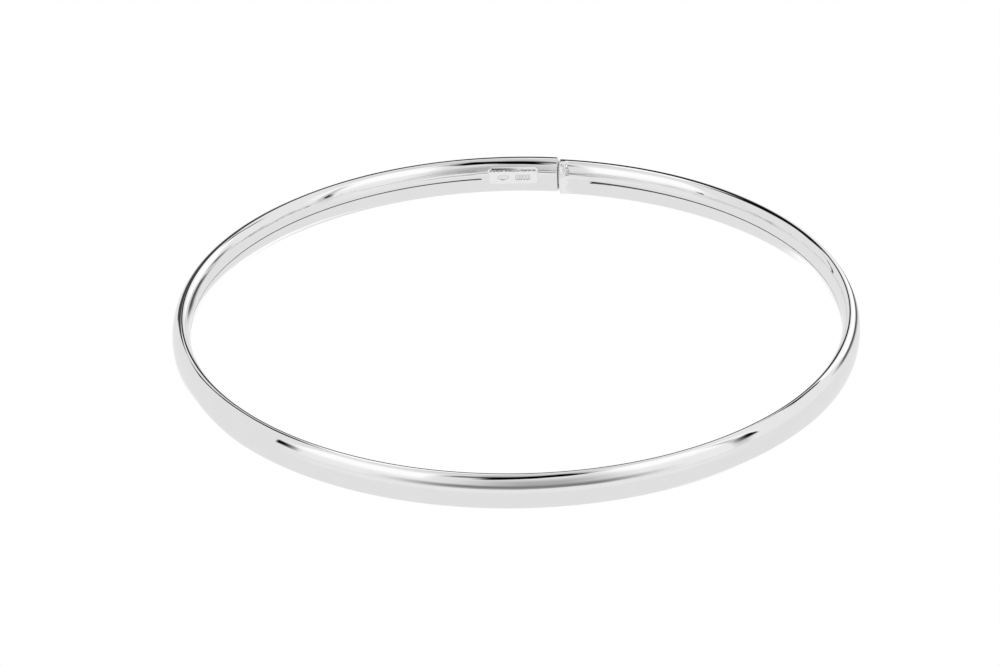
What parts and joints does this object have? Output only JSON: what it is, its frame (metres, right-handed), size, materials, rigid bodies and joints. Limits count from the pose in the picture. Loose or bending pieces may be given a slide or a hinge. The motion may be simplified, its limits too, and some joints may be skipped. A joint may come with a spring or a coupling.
{
  "type": "bangle bracelet",
  "caption": "Thin round bangle of hollow oval silver tube, polished bright, with a push-in tongue joint at the back and a small flat marking plate beside it on the inside.",
  "frame": {"origin": "centre of the ring, midway between its two rims", "axes": "+Z along the ring's axis, towards the rim that the raised end of the joint stands nearer to; +Y from the centre to the joint at the back, -Y to the front; +X towards the tongue's half"},
  "size_m": [0.0686, 0.0686, 0.004],
  "materials": {
    "polished_silver": "high polish, rhodium-white, mirror bright",
    "worked_silver": "bright but fine-scratched from sliding and filing",
    "plate_silver": "bright with a slightly rough filed edge and two plain punch marks",
    "silver_solder": "flowed and polished over, slightly uneven and greyer than the silver"
  },
  "bodies": {
    "collar_side": {"tube_collar_half": "polished_silver", "seam_solder_collar_half": "silver_solder", "joint_collar": "worked_silver", "hallmark_plate": "plate_silver", "plate_solder": "silver_solder"},
    "tongue_side": {"tube_tongue_half": "polished_silver", "seam_solder_tongue_half": "silver_solder", "tongue_plug": "worked_silver", "joint_tongue": "worked_silver", "plug_solder": "silver_solder"}
  },
  "joints": [
    {"name": "ring_flex", "type": "hinge", "parent": "collar_side", "child": "tongue_side", "pos_m": [0, -0.0343, 0], "axis": [0, 0, -1], "range_deg": [0, 13], "stiffness_Nm_per_rad": 0.78}
  ]
}
